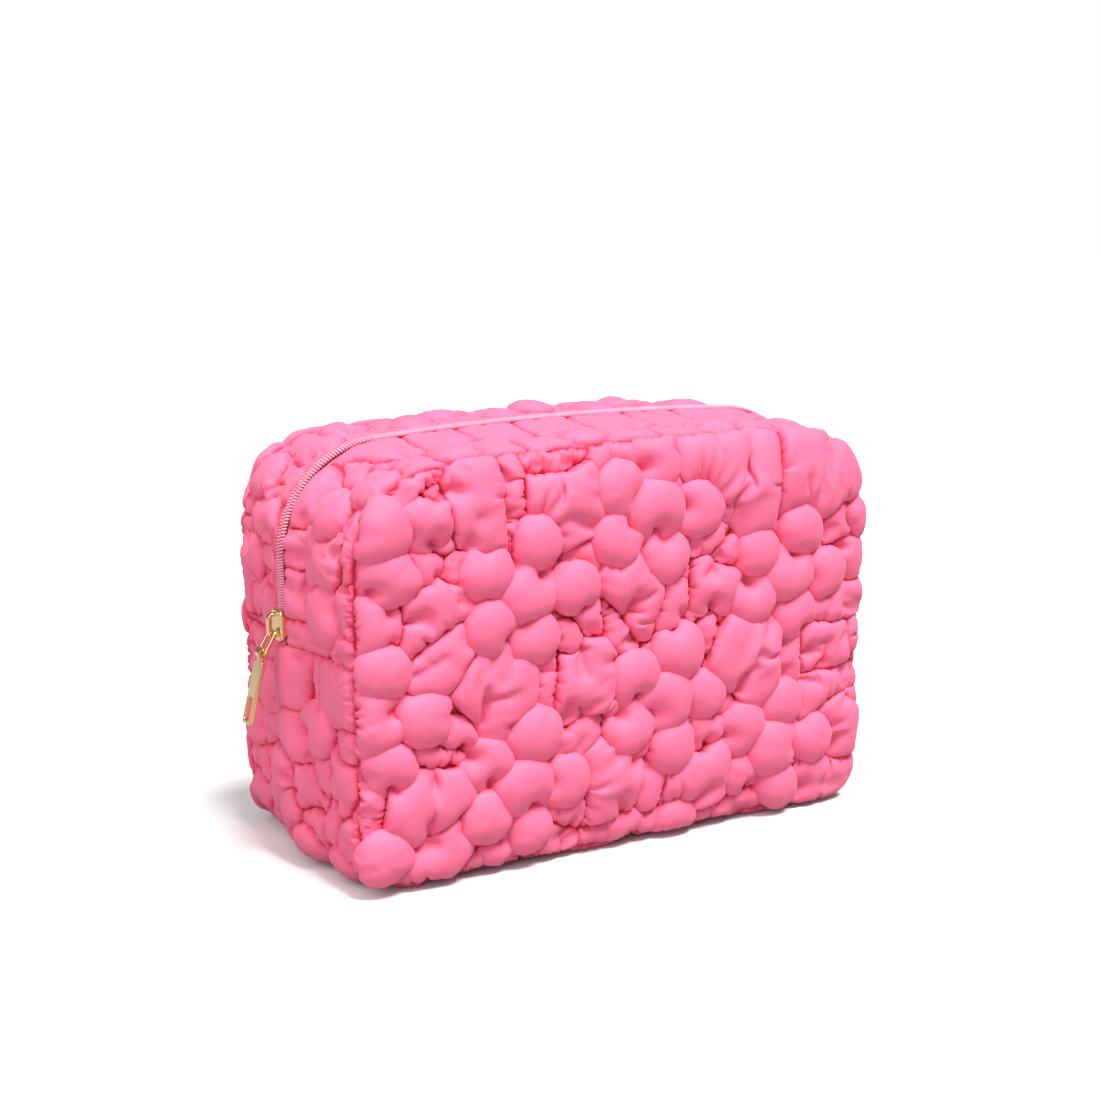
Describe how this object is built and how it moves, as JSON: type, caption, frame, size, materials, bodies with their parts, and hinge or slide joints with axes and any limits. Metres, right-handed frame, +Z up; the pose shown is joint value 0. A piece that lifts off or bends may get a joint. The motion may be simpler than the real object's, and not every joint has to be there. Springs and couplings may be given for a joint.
{
  "type": "makeup bag",
  "caption": "Soft quilted box-shaped makeup bag with a padded gusset, a zip over the top and a metal pull.",
  "frame": {"origin": "middle of the base, on the surface that the bag stands on", "axes": "+X along the bag's length, away from the zip's closed end; +Y from the front panel to the rear panel; +Z up"},
  "size_m": [0.2603, 0.113, 0.1655],
  "materials": {
    "quilted_nylon": "satin",
    "wadding": "matte",
    "lining": "matte",
    "binding": "matte",
    "zip_tape": "matte",
    "zip_coil": "satin",
    "gold_metal": "polished"
  },
  "bodies": {
    "base": {"front_panel_lower": "quilted_nylon", "front_wadding_lower": "wadding", "front_lining_lower": "lining", "front_seam_binding_lower": "binding", "front_zip_gusset_ends": "quilted_nylon", "front_zip_gusset_wadding_ends": "wadding", "front_zip_gusset_lining_ends": "lining", "front_zip_tape_ends": "zip_tape", "front_zip_coil_ends": "zip_coil", "rear_panel_lower": "quilted_nylon", "rear_wadding_lower": "wadding", "rear_lining_lower": "lining", "rear_seam_binding_lower": "binding", "rear_zip_gusset_ends": "quilted_nylon", "rear_zip_gusset_wadding_ends": "wadding", "rear_zip_gusset_lining_ends": "lining", "rear_zip_tape_ends": "zip_tape", "rear_zip_coil_ends": "zip_coil", "bottom_gusset": "quilted_nylon", "bottom_gusset_wadding": "wadding", "bottom_gusset_lining": "lining", "cross_seam_bindings": "binding"},
    "front_flap": {"front_panel_upper": "quilted_nylon", "front_wadding_upper": "wadding", "front_lining_upper": "lining", "front_seam_binding_upper": "binding", "front_zip_gusset": "quilted_nylon", "front_zip_gusset_wadding": "wadding", "front_zip_gusset_lining": "lining", "front_zip_tape": "zip_tape", "front_zip_coil": "zip_coil"},
    "rear_flap": {"rear_panel_upper": "quilted_nylon", "rear_wadding_upper": "wadding", "rear_lining_upper": "lining", "rear_seam_binding_upper": "binding", "rear_zip_gusset": "quilted_nylon", "rear_zip_gusset_wadding": "wadding", "rear_zip_gusset_lining": "lining", "rear_zip_tape": "zip_tape", "rear_zip_coil": "zip_coil"},
    "slider": {"slider_body": "gold_metal", "slider_crown": "gold_metal"},
    "link": {"pull_link": "gold_metal"},
    "tab": {"pull_tab": "gold_metal"}
  },
  "joints": [
    {"name": "front_mouth", "type": "hinge", "parent": "base", "child": "front_flap", "pos_m": [0, -0.0565, 0.088], "axis": [1, 0, 0], "range_deg": [0, 25]},
    {"name": "rear_mouth", "type": "hinge", "parent": "base", "child": "rear_flap", "pos_m": [0, 0.0565, 0.088], "axis": [-1, 0, 0], "range_deg": [0, 25]},
    {"name": "slider_travel", "type": "slide", "parent": "base", "child": "slider", "axis": [0, 0, -1], "range_m": [-0.016, 0]},
    {"name": "link_swing", "type": "hinge", "parent": "slider", "child": "link", "pos_m": [-0.1249, 0, 0.0926], "axis": [0, 1, 0], "range_deg": [0, 100]},
    {"name": "tab_swing", "type": "hinge", "parent": "link", "child": "tab", "pos_m": [-0.12962, 0, 0.08505], "axis": [0, 1, 0], "range_deg": [-14, 60]}
  ]
}
